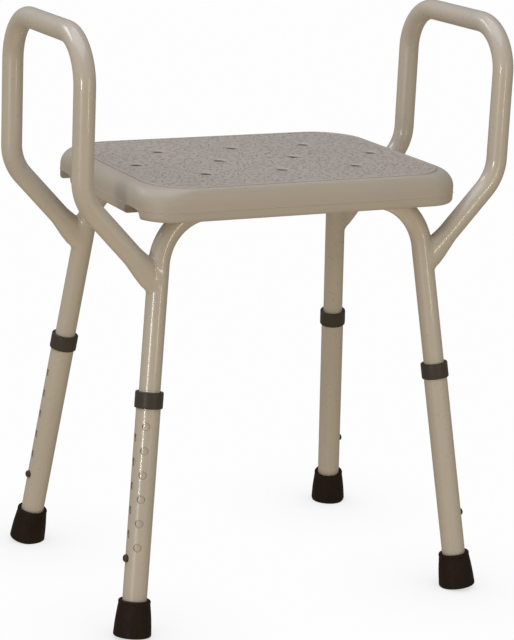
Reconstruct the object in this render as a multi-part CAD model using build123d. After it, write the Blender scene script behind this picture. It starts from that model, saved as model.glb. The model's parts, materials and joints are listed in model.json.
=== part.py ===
from build123d import *
from math import radians, sin, cos, sqrt
import os

os.makedirs("parts", exist_ok=True)

# A height-adjustable shower stool with two grab arms.
# Millimetres. The floor is Z = 0, the front is -Y, and the origin is on the floor under the seat's centre.

# ---- frame: two bent leg frames and two bent arms, all from one size of round tube ----
TUBE_OD = 22.2
TUBE_WALL = 1.5
LEG_BEND_R = 60.0          # centreline radius between a leg and its cross bar
ARM_BEND_R = 50.0          # and of every bend in an arm
FOOT_X, FOOT_Y = 196.3, 149.8     # where a leg's centreline meets the ferrule's base
FOOT_Z = 1.2
TOP_X, TOP_Y = 149.4, 88.7        # where a leg's centreline would meet the cross bar's
CROSS_Z = 431.0

ARM_X = 241.6              # plane of each arm's uprights
ARM_Y = 98.5               # uprights, front and rear
ARM_TOP_Z = 610.8          # centreline of the grip bar
ARM_BEND_Z = 450.5         # corner between upright and diagonal
ARM_WELD_Z = 359.3         # where the diagonal's centreline meets the leg's
ARM_END_WIDTH = 29.0       # the arm's end is flattened to wrap the leg
ARM_END_THICKNESS = 20.4
ARM_FLARE = 44.0           # length over which the end changes from round to flat
WELD_REACH = 2.2           # how far a weld bead stands off the leg
WELD_WIDTH = 2.4           # and off the arm

# ---- legs: an outer tube that slides on each frame leg ----
LEG_OD = 25.4
LEG_WALL = 1.2
LEG_START = 7.5            # along the leg, from the ferrule's base
LEG_END = 252.0
FRAME_END = 58.0           # lower end of the frame's tube inside the outer tube
HOLE_R = 4.25
HOLE_PITCH = 25.0
HOLE_COUNT = 6
FIRST_HOLE = 81.0          # lowest hole, where the snap button sits at the lowest setting
SECOND_ROW_TURN = 61.0     # degrees round the tube to the second row, half a pitch higher

COLLAR_OD = 29.4
COLLAR_HEIGHT = 17.0
COLLAR_LIP = 1.6
COLLAR_LIP_R = 11.4

FERRULE_BASE_R = 19.8
FERRULE_TOP_R = 16.3
FERRULE_HEIGHT = 38.0
FERRULE_FLOOR = 6.0        # rubber under the tube, including the steel washer's seat
FERRULE_RIM = 0.7
WASHER_THICKNESS = 1.5

# ---- snap buttons ----
BUTTON_R = 3.9
BUTTON_TIP = 16.2          # from the leg's axis
BUTTON_DOME = 1.9
BUTTON_FLANGE_R = 5.2
BUTTON_FLANGE_TOP = 7.8
BUTTON_FLANGE_THICKNESS = 1.3
FRAME_HOLE_R = 4.3
SPRING_STRIP = 0.6
SPRING_WIDTH = 7.0
SPRING_LENGTH = 34.0

# ---- seat ----
SEAT_X, SEAT_Y = 370.0, 267.0
SEAT_BOTTOM, SEAT_TOP = 428.2, 462.2
SEAT_CORNER_R = 40.0
SEAT_TOP_ROUND = 14.0
SEAT_BOTTOM_ROUND = 4.0
SEAT_WALL = 3.0
BEAD_X, BEAD_Y = 337.5, 248.5
BEAD_CORNER_R = 46.0
BEAD_WIDTH = 2.6
BEAD_HEIGHT = 0.9
CHANNEL_WIDTH = 25.0
CHANNEL_HALF_LENGTH = 152.0
NOTCH_WIDTH, NOTCH_HEIGHT, NOTCH_ROUND = 34.0, 11.0, 9.0
DRAIN_R = 5.0
DRAIN_PITCH_X, DRAIN_PITCH_Y = 88.7, 60.4
DRAIN_MIDDLE_OUTER_X = 140.5
DISH_R, DISH_DEPTH = 30.0, 2.3

# ---- seat fixings: screws inside the cross bars, reached through holes in their lower wall ----
SCREW_X = 70.0
SCREW_R = 3.0
SCREW_TIP_Z = 454.5
SCREW_HEAD_R, SCREW_HEAD_HEIGHT = 4.8, 2.6
ACCESS_R = 6.5
SADDLE_R, SADDLE_EDGE = 5.6, 1.2  # washer radius, and its thickness at the edge
INSERT_R = 4.6
INSERT_BOTTOM, INSERT_TOP = 445.0, 455.5
BOSS_R = 8.0

LEGS = {"front_left": (-1, -1), "rear_left": (-1, 1), "front_right": (1, -1), "rear_right": (1, 1)}
# which way round the tube the second row of holes lies, as each tube is fitted
SECOND_ROW_SIDE = {"front_left": 1, "rear_left": -1, "front_right": 1, "rear_right": 1}

FRAME_R = TUBE_OD / 2
BORE_R = FRAME_R - TUBE_WALL
LEG_R = LEG_OD / 2
SADDLE_Z = CROSS_Z + sqrt(BORE_R**2 - SADDLE_R**2) - SADDLE_EDGE     # the washer's flat underside


def foot(sx, sy):
    return Vector(sx * FOOT_X, sy * FOOT_Y, FOOT_Z)


def top_corner(sx, sy):
    return Vector(sx * TOP_X, sy * TOP_Y, CROSS_Z)


def leg_axis(sx, sy):
    return (top_corner(sx, sy) - foot(sx, sy)).normalized()


def outward(sx, sy):
    """The direction a snap button points: sideways, square to the leg."""
    axis = leg_axis(sx, sy)
    side = Vector(sx, 0, 0)
    return (side - axis * side.dot(axis)).normalized()


def leg_plane(sx, sy, along):
    """A plane across the leg at a distance above the ferrule's base, with x pointing outward."""
    origin = foot(sx, sy) + leg_axis(sx, sy) * along
    return Plane(origin=origin, x_dir=outward(sx, sy), z_dir=leg_axis(sx, sy))


def rod(plane, radius, length):
    """A cylinder that stands on a plane."""
    return plane * extrude(Circle(radius), length)


def bent_tube(path, radius, wall):
    start = Plane(origin=path @ 0, z_dir=path % 0)
    outer = sweep(start * Circle(radius), path=path)
    inner = sweep(start * Circle(radius - wall), path=path)
    return outer - inner


def side_drill(sx, sy, along, radius, turn=0.0):
    """A drill that enters a leg square to its side, at an angle round from outward."""
    across = leg_plane(sx, sy, along).rotated((0, 0, turn))
    return rod(Plane(origin=across.origin, z_dir=across.x_dir), radius, LEG_OD)


def screw_places():
    return [(sx * SCREW_X, sy * TOP_Y) for sx in (-1, 1) for sy in (-1, 1)]


# ---------------------------------------------------------------- frame
def leg_frame(sy):
    """One bent tube: leg, cross bar under the seat, leg."""
    corners = [
        foot(-1, sy) + leg_axis(-1, sy) * FRAME_END,
        top_corner(-1, sy),
        top_corner(1, sy),
        foot(1, sy) + leg_axis(1, sy) * FRAME_END,
    ]
    tube = bent_tube(FilletPolyline(*corners, radius=LEG_BEND_R), FRAME_R, TUBE_WALL)
    for sx in (-1, 1):
        tube -= side_drill(sx, sy, FIRST_HOLE, FRAME_HOLE_R)
        middle = Plane(origin=(sx * SCREW_X, sy * TOP_Y, CROSS_Z))
        tube -= rod(middle, SCREW_R + 0.3, TUBE_OD)
        tube -= rod(middle, ACCESS_R, -TUBE_OD)
    return tube


def weld_point(sx, sy):
    axis = leg_axis(sx, sy)
    return foot(sx, sy) + axis * ((ARM_WELD_Z - FOOT_Z) / axis.Z)


def arm_corner(sx, sy, z):
    return Vector(sx * ARM_X, sy * ARM_Y, z)


def arm_end(sx, sy, grow, start_radius):
    """The end of an arm, which changes from round to a flattened section that meets the leg's axis."""
    root = weld_point(sx, sy)
    along = (arm_corner(sx, sy, ARM_BEND_Z) - root).normalized()
    axis = leg_axis(sx, sy)
    wide = (axis - along * axis.dot(along)).normalized()
    flat = Plane(origin=root, x_dir=wide, z_dir=along)
    middle = Plane(origin=root + along * ARM_FLARE * 0.45, x_dir=wide, z_dir=along)
    round_end = Plane(origin=root + along * ARM_FLARE, x_dir=wide, z_dir=along)
    half_width, half_thickness = ARM_END_WIDTH / 2 + grow, ARM_END_THICKNESS / 2 + grow
    sections = [
        flat * Ellipse(half_width, half_thickness),
        middle * Ellipse(half_width * 0.96, half_thickness),
        round_end * Circle(start_radius),
    ]
    return loft(sections)


def leg_core(sx, sy, grow=0.0):
    return rod(leg_plane(sx, sy, FRAME_END), FRAME_R + grow, 420)


def arm(sx):
    """One bent tube: diagonal from the front leg, upright, grip bar, upright, diagonal to the rear leg."""
    ends = {}
    for sy in (-1, 1):
        root = weld_point(sx, sy)
        along = (arm_corner(sx, sy, ARM_BEND_Z) - root).normalized()
        ends[sy] = root + along * ARM_FLARE
    corners = [
        ends[-1],
        arm_corner(sx, -1, ARM_BEND_Z),
        arm_corner(sx, -1, ARM_TOP_Z),
        arm_corner(sx, 1, ARM_TOP_Z),
        arm_corner(sx, 1, ARM_BEND_Z),
        ends[1],
    ]
    tube = bent_tube(FilletPolyline(*corners, radius=ARM_BEND_R), FRAME_R, TUBE_WALL)
    for sy in (-1, 1):
        shell = arm_end(sx, sy, 0, FRAME_R) - arm_end(sx, sy, -TUBE_WALL, FRAME_R - TUBE_WALL)
        tube += shell - leg_core(sx, sy)
    return tube


def arm_weld(sx, sy):
    """The bead round the joint between an arm's end and the leg."""
    round_arm = arm_end(sx, sy, WELD_WIDTH, FRAME_R + WELD_WIDTH)
    near_leg = leg_core(sx, sy, WELD_REACH)
    return round_arm & near_leg - leg_core(sx, sy) - arm_end(sx, sy, 0, FRAME_R)


# ---------------------------------------------------------------- seat
def slab(inset, bottom, top, top_round, bottom_round):
    outline = RectangleRounded(SEAT_X - 2 * inset, SEAT_Y - 2 * inset, SEAT_CORNER_R - inset)
    block = Pos(0, 0, bottom) * extrude(outline, top - bottom)
    block = fillet(block.faces().sort_by(Axis.Z)[-1].edges(), top_round)
    return fillet(block.faces().sort_by(Axis.Z)[0].edges(), bottom_round)


def rim_bead():
    """The fine raised line round the textured panel."""
    outer = RectangleRounded(BEAD_X + BEAD_WIDTH, BEAD_Y + BEAD_WIDTH, BEAD_CORNER_R + BEAD_WIDTH / 2)
    inner = RectangleRounded(BEAD_X - BEAD_WIDTH, BEAD_Y - BEAD_WIDTH, BEAD_CORNER_R - BEAD_WIDTH / 2)
    ring = Pos(0, 0, SEAT_TOP - 2) * extrude(outer - inner, 2 + BEAD_HEIGHT)
    return fillet(ring.faces().sort_by(Axis.Z)[-1].edges(), BEAD_HEIGHT * 0.9)


def channel(sy, grow=0.0):
    """The groove across the underside that takes a cross bar."""
    half = CHANNEL_WIDTH / 2
    roof_z = CROSS_Z + FRAME_R + 0.05 - half
    length = 2 * (CHANNEL_HALF_LENGTH + grow)
    roof = Pos(0, sy * TOP_Y, roof_z) * Rot(0, 90, 0) * Cylinder(half + grow, length)
    depth = roof_z - SEAT_BOTTOM + 10
    slot = Pos(0, sy * TOP_Y, roof_z - depth / 2) * Box(length, CHANNEL_WIDTH + 2 * grow, depth)
    return roof + slot


def notch(sx, sy, grow=0.0):
    """Where a channel runs out through the short side."""
    end = RectangleRounded(NOTCH_WIDTH + 2 * grow, 2 * (NOTCH_HEIGHT + grow), NOTCH_ROUND)
    start = (sx * (CHANNEL_HALF_LENGTH - 4), sy * TOP_Y, SEAT_BOTTOM)
    return Plane(origin=start, x_dir=(0, 1, 0), z_dir=(sx, 0, 0)) * extrude(end, 60)


def drain_places():
    """Ten drain holes in rows of three, four and three."""
    outer_rows = [(i * DRAIN_PITCH_X, j * DRAIN_PITCH_Y) for j in (-1, 1) for i in (-1, 0, 1)]
    inner_x = DRAIN_PITCH_X / 2
    middle = [(x, 0) for x in (-DRAIN_MIDDLE_OUTER_X, -inner_x, inner_x, DRAIN_MIDDLE_OUTER_X)]
    return outer_rows + middle


def posts(places, radius, bottom):
    height = SEAT_TOP - bottom
    return [Pos(x, y, bottom + height / 2) * Cylinder(radius, height) for x, y in places]


def seat_board():
    """A hollow moulded board with channels, drain holes and screw bosses."""
    body = slab(0, SEAT_BOTTOM, SEAT_TOP, SEAT_TOP_ROUND, SEAT_BOTTOM_ROUND) + rim_bead()
    w = SEAT_WALL
    hollow = slab(w, SEAT_BOTTOM + w, SEAT_TOP - w, SEAT_TOP_ROUND - w, SEAT_BOTTOM_ROUND - w)
    for sy in (-1, 1):
        body -= channel(sy)
        hollow -= channel(sy, w)
        for sx in (-1, 1):
            body -= notch(sx, sy)
            hollow -= notch(sx, sy, w)
    for post in posts(drain_places(), DRAIN_R + 2.4, SEAT_BOTTOM):
        hollow -= post
    for post in posts(screw_places(), BOSS_R, SEAT_BOTTOM):
        hollow -= post
    for x, y in drain_places():
        body -= Pos(x, y, (SEAT_BOTTOM + SEAT_TOP) / 2) * Cylinder(DRAIN_R, 60)
        body -= Pos(x, y, SEAT_TOP + DISH_R - DISH_DEPTH) * Sphere(DISH_R)
        hollow -= Pos(x, y, SEAT_TOP + DISH_R - DISH_DEPTH) * Sphere(DISH_R + w)
    for x, y in screw_places():
        depth = INSERT_TOP - CROSS_Z
        body -= Pos(x, y, CROSS_Z + depth / 2) * Cylinder(INSERT_R, depth)
    return body - hollow


# ---------------------------------------------------------------- seat fixings
def seat_insert(x, y):
    """A threaded brass insert moulded into the seat."""
    height = INSERT_TOP - INSERT_BOTTOM
    return Pos(x, y, INSERT_BOTTOM + height / 2) * (Cylinder(INSERT_R, height) - Cylinder(SCREW_R, height))


def saddle_washer(x, y):
    """A washer inside the cross bar, rounded on top to fit its bore."""
    disc = Pos(x, y, SADDLE_Z) * extrude(Circle(SADDLE_R), BORE_R)
    bore = Pos(x, y, CROSS_Z) * Rot(0, 90, 0) * Cylinder(BORE_R, 4 * SADDLE_R)
    hole = Pos(x, y, CROSS_Z) * Cylinder(SCREW_R + 0.3, 2 * TUBE_OD)
    return disc & bore - hole


def seat_screw(x, y):
    """A pan-head machine screw with a cross recess, up through the washer, tube and insert."""
    length = SCREW_TIP_Z - SADDLE_Z
    shank = Pos(x, y, SADDLE_Z + length / 2) * Cylinder(SCREW_R, length)
    shank = chamfer(shank.edges().sort_by(Axis.Z)[-1], 0.6)
    head = Pos(x, y, SADDLE_Z - SCREW_HEAD_HEIGHT / 2) * Cylinder(SCREW_HEAD_R, SCREW_HEAD_HEIGHT)
    head = fillet(head.edges().sort_by(Axis.Z)[0], 1.2)
    recess_z = SADDLE_Z - SCREW_HEAD_HEIGHT + 0.6
    recess = Box(5.0, 1.1, 1.6) + Box(1.1, 5.0, 1.6)
    return head + shank - Pos(x, y, recess_z) * recess


# ---------------------------------------------------------------- sliding leg
def leg_tube(name):
    """The outer tube of a leg, with two rows of height holes."""
    sx, sy = LEGS[name]
    base = leg_plane(sx, sy, LEG_START)
    length = LEG_END - LEG_START
    tube = rod(base, LEG_R, length) - rod(base, LEG_R - LEG_WALL, length)
    turn = SECOND_ROW_SIDE[name] * SECOND_ROW_TURN
    for i in range(HOLE_COUNT):
        along = FIRST_HOLE + i * HOLE_PITCH
        tube -= side_drill(sx, sy, along, HOLE_R)
        tube -= side_drill(sx, sy, along + HOLE_PITCH / 2, HOLE_R, turn)
    return tube


def leg_collar(sx, sy):
    """A plastic cap on the outer tube's top, with a lip that guides the frame's leg."""
    bottom = LEG_END + COLLAR_LIP - COLLAR_HEIGHT
    base = leg_plane(sx, sy, bottom)
    body = extrude(Circle(COLLAR_OD / 2), COLLAR_HEIGHT)
    body = fillet(body.edges().group_by(Axis.Z)[-1] + body.edges().group_by(Axis.Z)[0], 1.3)
    body -= extrude(Circle(LEG_R), COLLAR_HEIGHT - COLLAR_LIP)
    body -= extrude(Circle(COLLAR_LIP_R), COLLAR_HEIGHT)
    return base * body


def ferrule(sx, sy):
    """A rubber foot with a rolled rim, worn to a level facet where it meets the floor."""
    rim = FERRULE_HEIGHT - 3.2
    outline = Polyline(
        (0, 0),
        (FERRULE_BASE_R - 1.2, 0),
        (FERRULE_BASE_R, 1.2),
        (FERRULE_BASE_R - 0.2, 4.5),
        (FERRULE_TOP_R, rim),
        (FERRULE_TOP_R + FERRULE_RIM, rim + 0.8),
        (FERRULE_TOP_R + FERRULE_RIM, FERRULE_HEIGHT - 0.9),
        (FERRULE_TOP_R - 0.2, FERRULE_HEIGHT),
        (LEG_R, FERRULE_HEIGHT),
        (LEG_R, FERRULE_FLOOR),
        (0, FERRULE_FLOOR),
        (0, 0),
    )
    body = revolve(Plane.XZ * make_face(outline), Axis.Z)
    for radius in (6.0, 10.5, 15.0):
        body -= extrude(Circle(radius + 0.7) - Circle(radius - 0.7), 1.0)
    body = leg_plane(sx, sy, 0) * body
    return body - Pos(sx * FOOT_X, sy * FOOT_Y, -25) * Box(100, 100, 50)


def ferrule_washer(sx, sy):
    """The steel disc that stops the tube cutting through the rubber."""
    return rod(leg_plane(sx, sy, FERRULE_FLOOR), LEG_R - 0.3, WASHER_THICKNESS)


# ---------------------------------------------------------------- snap button
def button_plane(sx, sy):
    """At the lowest hole, with z pointing outward and x up the leg."""
    return Plane(
        origin=leg_plane(sx, sy, FIRST_HOLE).origin,
        x_dir=leg_axis(sx, sy),
        z_dir=outward(sx, sy),
    )


def snap_button(sx, sy):
    """A domed pin with a flange that stops it inside the frame's tube."""
    flange = extrude(Circle(BUTTON_FLANGE_R), -BUTTON_FLANGE_THICKNESS)
    stem = extrude(Circle(BUTTON_R), BUTTON_TIP - BUTTON_FLANGE_TOP)
    stem = fillet(stem.edges().sort_by(Axis.Z)[-1], BUTTON_DOME)
    return button_plane(sx, sy) * Pos(0, 0, BUTTON_FLANGE_TOP) * (stem + flange)


def button_spring(sx, sy):
    """A folded strip of spring steel that lies against the far wall and pushes the button out."""
    near = BUTTON_FLANGE_TOP - BUTTON_FLANGE_THICKNESS - SPRING_STRIP / 2
    far = -sqrt(BORE_R**2 - (SPRING_WIDTH / 2) ** 2) + SPRING_STRIP
    fold = FilletPolyline(
        (-6, near),
        (7, near),
        (SPRING_LENGTH, 1.5),
        (SPRING_LENGTH, far),
        (-8, far),
        radius=2.5,
    )
    strip = trace(fold, SPRING_STRIP)
    profile = Plane(origin=(0, SPRING_WIDTH / 2, 0), x_dir=(1, 0, 0), z_dir=(0, -1, 0))
    return button_plane(sx, sy) * (profile * extrude(strip, SPRING_WIDTH))


# ---------------------------------------------------------------- parts
def parts():
    out = {
        "seat_board": seat_board(),
        "seat_inserts": Compound([seat_insert(*p) for p in screw_places()]),
        "saddle_washers": Compound([saddle_washer(*p) for p in screw_places()]),
        "seat_screws": Compound([seat_screw(*p) for p in screw_places()]),
        "front_leg_frame": leg_frame(-1),
        "rear_leg_frame": leg_frame(1),
        "left_arm": arm(-1),
        "right_arm": arm(1),
        "left_arm_welds": Compound([arm_weld(-1, sy) for sy in (-1, 1)]),
        "right_arm_welds": Compound([arm_weld(1, sy) for sy in (-1, 1)]),
    }
    for name, (sx, sy) in LEGS.items():
        out[f"{name}_leg_tube"] = leg_tube(name)
        out[f"{name}_leg_collar"] = leg_collar(sx, sy)
        out[f"{name}_ferrule"] = ferrule(sx, sy)
        out[f"{name}_ferrule_washer"] = ferrule_washer(sx, sy)
        out[f"{name}_snap_button"] = snap_button(sx, sy)
        out[f"{name}_button_spring"] = button_spring(sx, sy)
    return out


for node, shape in parts().items():
    export_step(shape, f"parts/{node}.step")
    print(node, len(shape.solids()), round(shape.volume), "mm3")
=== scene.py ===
import bpy
import bmesh
import json
from math import sin, cos, tan, pi, sqrt, radians, hypot, atan2
from mathutils import Vector, Matrix
from mathutils.geometry import delaunay_2d_cdt
from mathutils.kdtree import KDTree
from mathutils.noise import noise


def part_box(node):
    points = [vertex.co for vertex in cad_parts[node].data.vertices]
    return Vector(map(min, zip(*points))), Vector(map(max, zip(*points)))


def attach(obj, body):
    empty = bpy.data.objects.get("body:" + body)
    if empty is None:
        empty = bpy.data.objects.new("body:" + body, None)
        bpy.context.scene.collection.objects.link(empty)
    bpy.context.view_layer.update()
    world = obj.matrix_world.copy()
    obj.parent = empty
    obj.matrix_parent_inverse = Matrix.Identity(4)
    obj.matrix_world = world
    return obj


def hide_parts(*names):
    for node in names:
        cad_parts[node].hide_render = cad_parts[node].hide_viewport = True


MM = 0.001

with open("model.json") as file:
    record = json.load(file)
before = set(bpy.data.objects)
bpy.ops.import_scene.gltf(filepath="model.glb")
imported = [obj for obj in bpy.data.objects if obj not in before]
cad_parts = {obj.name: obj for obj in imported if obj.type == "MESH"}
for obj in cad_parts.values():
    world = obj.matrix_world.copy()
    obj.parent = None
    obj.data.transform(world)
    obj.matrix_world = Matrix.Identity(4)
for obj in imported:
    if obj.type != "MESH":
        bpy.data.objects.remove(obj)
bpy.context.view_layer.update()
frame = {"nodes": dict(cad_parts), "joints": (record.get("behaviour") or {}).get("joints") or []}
nodes = frame["nodes"]
joints = {joint["name"]: joint for joint in frame["joints"]}
scene = bpy.context.scene

LEGS = ("front_left", "rear_left", "front_right", "rear_right")

# ---- camera ----
CAMERA_PLACE = (-1.058, -2.053, 0.907)
CAMERA_YAW, CAMERA_DOWN, CAMERA_ROLL = radians(-27.48), radians(15.13), radians(2.60)
CAMERA_LENS = 123.04
SENSOR = 36.0

# ---- tubes and legs, millimetres ----
TUBE_R = 11.1
LEG_R = 12.7
WASHER_ALONG = 6.75               # along the leg, the middle of the steel washer in a ferrule
TUBE_WALL = 1.5
FRAME_END = 58.0                  # along the leg, where the frame's tube ends inside the leg tube
CROSS_Z = 431.0
LEG_BEND_R, ARM_BEND_R = 60.0, 50.0
ARM_X, ARM_Y, ARM_BEND_Z, ARM_TOP_Z, ARM_WELD_Z = 241.6, 98.5, 450.5, 610.8, 359.3
ARM_END_HALF = (14.5, 10.2)       # half width and half thickness of an arm's flattened end
ARM_FLARE = 44.0                  # length over which the end changes from flat to round
SCREW_HOLE_R, ACCESS_R = 3.3, 6.5
TUBE_START, TUBE_END = 7.5, 252.0
LEG_BORE = 11.5
HOLE_R, HOLE_PITCH, HOLE_COUNT, FIRST_HOLE = 4.25, 25.0, 6, 81.0
SECOND_ROW_TURN = radians(61)
SECOND_ROW_SIDE = {"front_left": 1, "rear_left": -1, "front_right": 1, "rear_right": 1}
RIM = 0.3                         # width of the rounded edge of a hole
COLLAR_R, COLLAR_LOW, COLLAR_TOP, COLLAR_LIP_R = 14.7, 236.6, 253.6, 11.4
MOULD_LINE_Z, MOULD_LINE_RISE = 245.0, 0.08
BUTTON_R, BUTTON_SHOULDER, BUTTON_DOME = 3.9, 13.9, 2.3
FLANGE_R, FLANGE_BACK, FLANGE_FRONT = 5.2, 6.5, 7.8
FERRULE_R, FERRULE_TAPER, FERRULE_BULGE = 19.8, 3.2, 0.45
FERRULE_WALL = (1.8, 34.2)        # where the ferrule's cone starts and ends along the leg
TREAD_RADII, TREAD_WIDTH, TREAD_DEPTH = (5.3, 9.8, 14.3), 1.4, 1.0
FLOOR_HALF = 14000.0

# ---- seat, millimetres ----
BEAD_RISE = 0.9
BEAD_HALF = (168.75, 124.25)      # half sizes of the bead's middle line
BEAD_CORNER = 46.0
BEAD_HALF_WIDTH = 1.3
GROOVE_WIDTH, GROOVE_DEPTH = 1.7, 1.3
SEAT_CORNER = 40.0
ROLL_DROP = 18.0                  # height of the rolled edge
SKIRT_DRAFT = 0.35                # the mould's draft above and below the parting line
PARTING_DROP = 23.4               # from the top face to the parting line
BOTTOM_ROUND = 4.0
CHANNEL_Y, CHANNEL_HALF, CHANNEL_ROOF = 88.7, 12.5, 442.2
CHANNEL_END = 152.0
NOTCH_HALF, NOTCH_HEIGHT, NOTCH_ROUND = 17.0, 11.0, 9.0
DRAIN_PITCH = (88.7, 60.4)
DRAIN_OUTER = 140.5
DRAIN_R, DISH_R, DISH_DEPTH = 5.0, 9.5, 1.5
BORE_X, BORE_R, BORE_TOP = 70.0, 4.6, 455.5

seat_low, seat_high = (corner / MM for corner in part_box("seat_board"))
SEAT_HALF = (seat_high.x, seat_high.y)
SEAT_BOTTOM, SEAT_TOP = seat_low.z, seat_high.z - BEAD_RISE


# ---------------------------------------------------------------- camera and studio
def make_camera():
    data = bpy.data.cameras.new("camera")
    data.lens = CAMERA_LENS
    data.sensor_width = SENSOR
    data.clip_start, data.clip_end = 0.05, 30.0
    cam = bpy.data.objects.new("camera", data)
    scene.collection.objects.link(cam)
    level = cos(CAMERA_DOWN)
    forward = Vector((-sin(CAMERA_YAW) * level, cos(CAMERA_YAW) * level, -sin(CAMERA_DOWN)))
    right = forward.cross(Vector((0, 0, 1))).normalized()
    up = right.cross(forward)
    rolled_right = right * cos(CAMERA_ROLL) + up * sin(CAMERA_ROLL)
    rolled_up = up * cos(CAMERA_ROLL) - right * sin(CAMERA_ROLL)
    turn = Matrix((rolled_right, rolled_up, -forward)).transposed()
    cam.matrix_world = Matrix.Translation(CAMERA_PLACE) @ turn.to_4x4()
    scene.camera = cam


def area_light(name, azimuth, elevation, distance, size, power, colour):
    """A softbox that looks at the seat, placed by its direction: azimuth 0 is the front, + is the right."""
    data = bpy.data.lights.new(name, "AREA")
    data.shape = "RECTANGLE"
    data.size, data.size_y = size
    data.energy = power
    data.color = colour
    lamp = bpy.data.objects.new(name, data)
    scene.collection.objects.link(lamp)
    a, e = radians(azimuth), radians(elevation)
    target = Vector((0, 0, 0.35))
    lamp.location = target + distance * Vector((sin(a) * cos(e), -cos(a) * cos(e), sin(e)))
    lamp.rotation_mode = "QUATERNION"
    lamp.rotation_quaternion = (target - lamp.location).to_track_quat("-Z", "Y")
    return lamp


def make_studio():
    """A white backdrop for the camera, and a dimmer room for everything that it lights."""
    world = bpy.data.worlds.new("studio")
    scene.world = world
    world.use_nodes = True
    tree = world.node_tree
    room = tree.nodes["Background"]
    backdrop = tree.nodes.new("ShaderNodeBackground")
    backdrop.inputs["Color"].default_value = (1, 1, 1, 1)
    backdrop.inputs["Strength"].default_value = 1.0
    direction = tree.nodes.new("ShaderNodeTexCoord")
    parts = tree.nodes.new("ShaderNodeSeparateXYZ")
    tree.links.new(direction.outputs["Generated"], parts.inputs["Vector"])
    facing = tree.nodes.new("ShaderNodeVectorMath")
    facing.operation = "DOT_PRODUCT"
    facing.inputs[1].default_value = (0.5, 0.85, 0)
    tree.links.new(direction.outputs["Generated"], facing.inputs[0])
    glow = tree.nodes.new("ShaderNodeMapRange")
    glow.inputs["From Min"].default_value = -0.9
    glow.inputs["From Max"].default_value = 0.9
    glow.inputs["To Min"].default_value = 0.64
    glow.inputs["To Max"].default_value = 0.28
    tree.links.new(facing.outputs["Value"], glow.inputs["Value"])
    tree.links.new(glow.outputs["Result"], room.inputs["Strength"])
    warmth = tree.nodes.new("ShaderNodeMapRange")
    warmth.inputs["From Min"].default_value = -0.5
    warmth.inputs["From Max"].default_value = 0.6
    tree.links.new(parts.outputs["Z"], warmth.inputs["Value"])
    tones = tree.nodes.new("ShaderNodeValToRGB")
    tones.color_ramp.elements[0].color = (1.0, 0.89, 0.70, 1)
    tones.color_ramp.elements[1].color = (0.92, 0.96, 1.0, 1)
    tree.links.new(warmth.outputs["Result"], tones.inputs["Fac"])
    tree.links.new(tones.outputs["Color"], room.inputs["Color"])
    ray = tree.nodes.new("ShaderNodeLightPath")
    choose = tree.nodes.new("ShaderNodeMixShader")
    tree.links.new(ray.outputs["Is Camera Ray"], choose.inputs["Fac"])
    tree.links.new(room.outputs["Background"], choose.inputs[1])
    tree.links.new(backdrop.outputs["Background"], choose.inputs[2])
    tree.links.new(choose.outputs["Shader"], tree.nodes["World Output"].inputs["Surface"])
    scene.view_settings.view_transform = "Standard"
    area_light("key", -56, 3, 3.9, (0.51, 0.83), 34, (1.0, 0.95, 0.88))
    area_light("overhead", -60, 80, 2.2, (2.4, 2.4), 35, (0.85, 0.91, 1.05))
    area_light("window", -128, 42, 2.2, (1.1, 0.5), 11, (0.94, 0.96, 1.0))
    area_light("fill", 12, 7, 1.55, (0.12, 0.6), 3.0, (1.0, 0.88, 0.62))
    area_light("bounce", 0, -85, 1.5, (2.2, 2.2), 5, (1.0, 0.92, 0.80))
    behind = area_light("behind", 152, -4, 3.5, (1.6, 1.0), 16, (1.0, 0.97, 0.93))
    behind.visible_glossy = False


def make_floor():
    """A plain pale floor with a painted soft contact shadow round the feet, taken from ambient occlusion.

    It filters what lies behind it, so lowered legs and the underside show, and it leaves the
    light on the stool alone."""
    signs = ((-1, -1), (1, -1), (1, 1), (-1, 1))
    corners = [(FLOOR_HALF * sx, FLOOR_HALF * sy, 0) for sx, sy in signs]
    made = new_object("floor", corners, [(0, 1, 2, 3)])
    material = bpy.data.materials.new("floor")
    material.use_nodes = True
    tree = material.node_tree
    tree.nodes.remove(tree.nodes["Principled BSDF"])
    # painted shadow: ambient occlusion darkens the floor's tint near the stool; the lamps play no part in it
    painted_contact_shadow = add(material, "AmbientOcclusion", {"Distance": 0.14}, samples=16)
    pale = add(material, "MapRange", {"Value": painted_contact_shadow.outputs["AO"], "To Min": 0.62, "To Max": 0.985})
    veil = add(material, "BsdfTransparent", {"Color": pale.outputs["Result"]})
    tree.links.new(veil.outputs["BSDF"], tree.nodes["Material Output"].inputs["Surface"])
    made.data.materials.append(material)
    for ray in ("diffuse", "glossy", "transmission", "shadow"):
        setattr(made, "visible_" + ray, False)


# ---------------------------------------------------------------- mesh helpers
def new_object(name, vertices, faces):
    """An object from points in millimetres."""
    mesh = bpy.data.meshes.new(name)
    mesh.from_pydata([Vector(v) * MM for v in vertices], [], faces)
    made = bpy.data.objects.new(name, mesh)
    scene.collection.objects.link(made)
    return made


def tidy_normals(made, angle=radians(35)):
    """Faces turned outward, smooth shading, and edges sharper than an angle kept crisp."""
    work = bmesh.new()
    work.from_mesh(made.data)
    bmesh.ops.remove_doubles(work, verts=work.verts, dist=1e-7)
    bmesh.ops.recalc_face_normals(work, faces=work.faces)
    for face in work.faces:
        face.smooth = True
    for edge in work.edges:
        edge.smooth = len(edge.link_faces) != 2 or edge.calc_face_angle() < angle
    work.to_mesh(made.data)
    work.free()


def cut(made, cutter):
    """Boolean difference, applied."""
    step = made.modifiers.new("cut", "BOOLEAN")
    step.operation = "DIFFERENCE"
    step.solver = "EXACT"
    step.object = cutter
    bpy.context.view_layer.update()
    evaluated = made.evaluated_get(bpy.context.evaluated_depsgraph_get())
    mesh = bpy.data.meshes.new_from_object(evaluated)
    made.modifiers.clear()
    made.data = mesh
    bpy.data.objects.remove(cutter)


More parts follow.
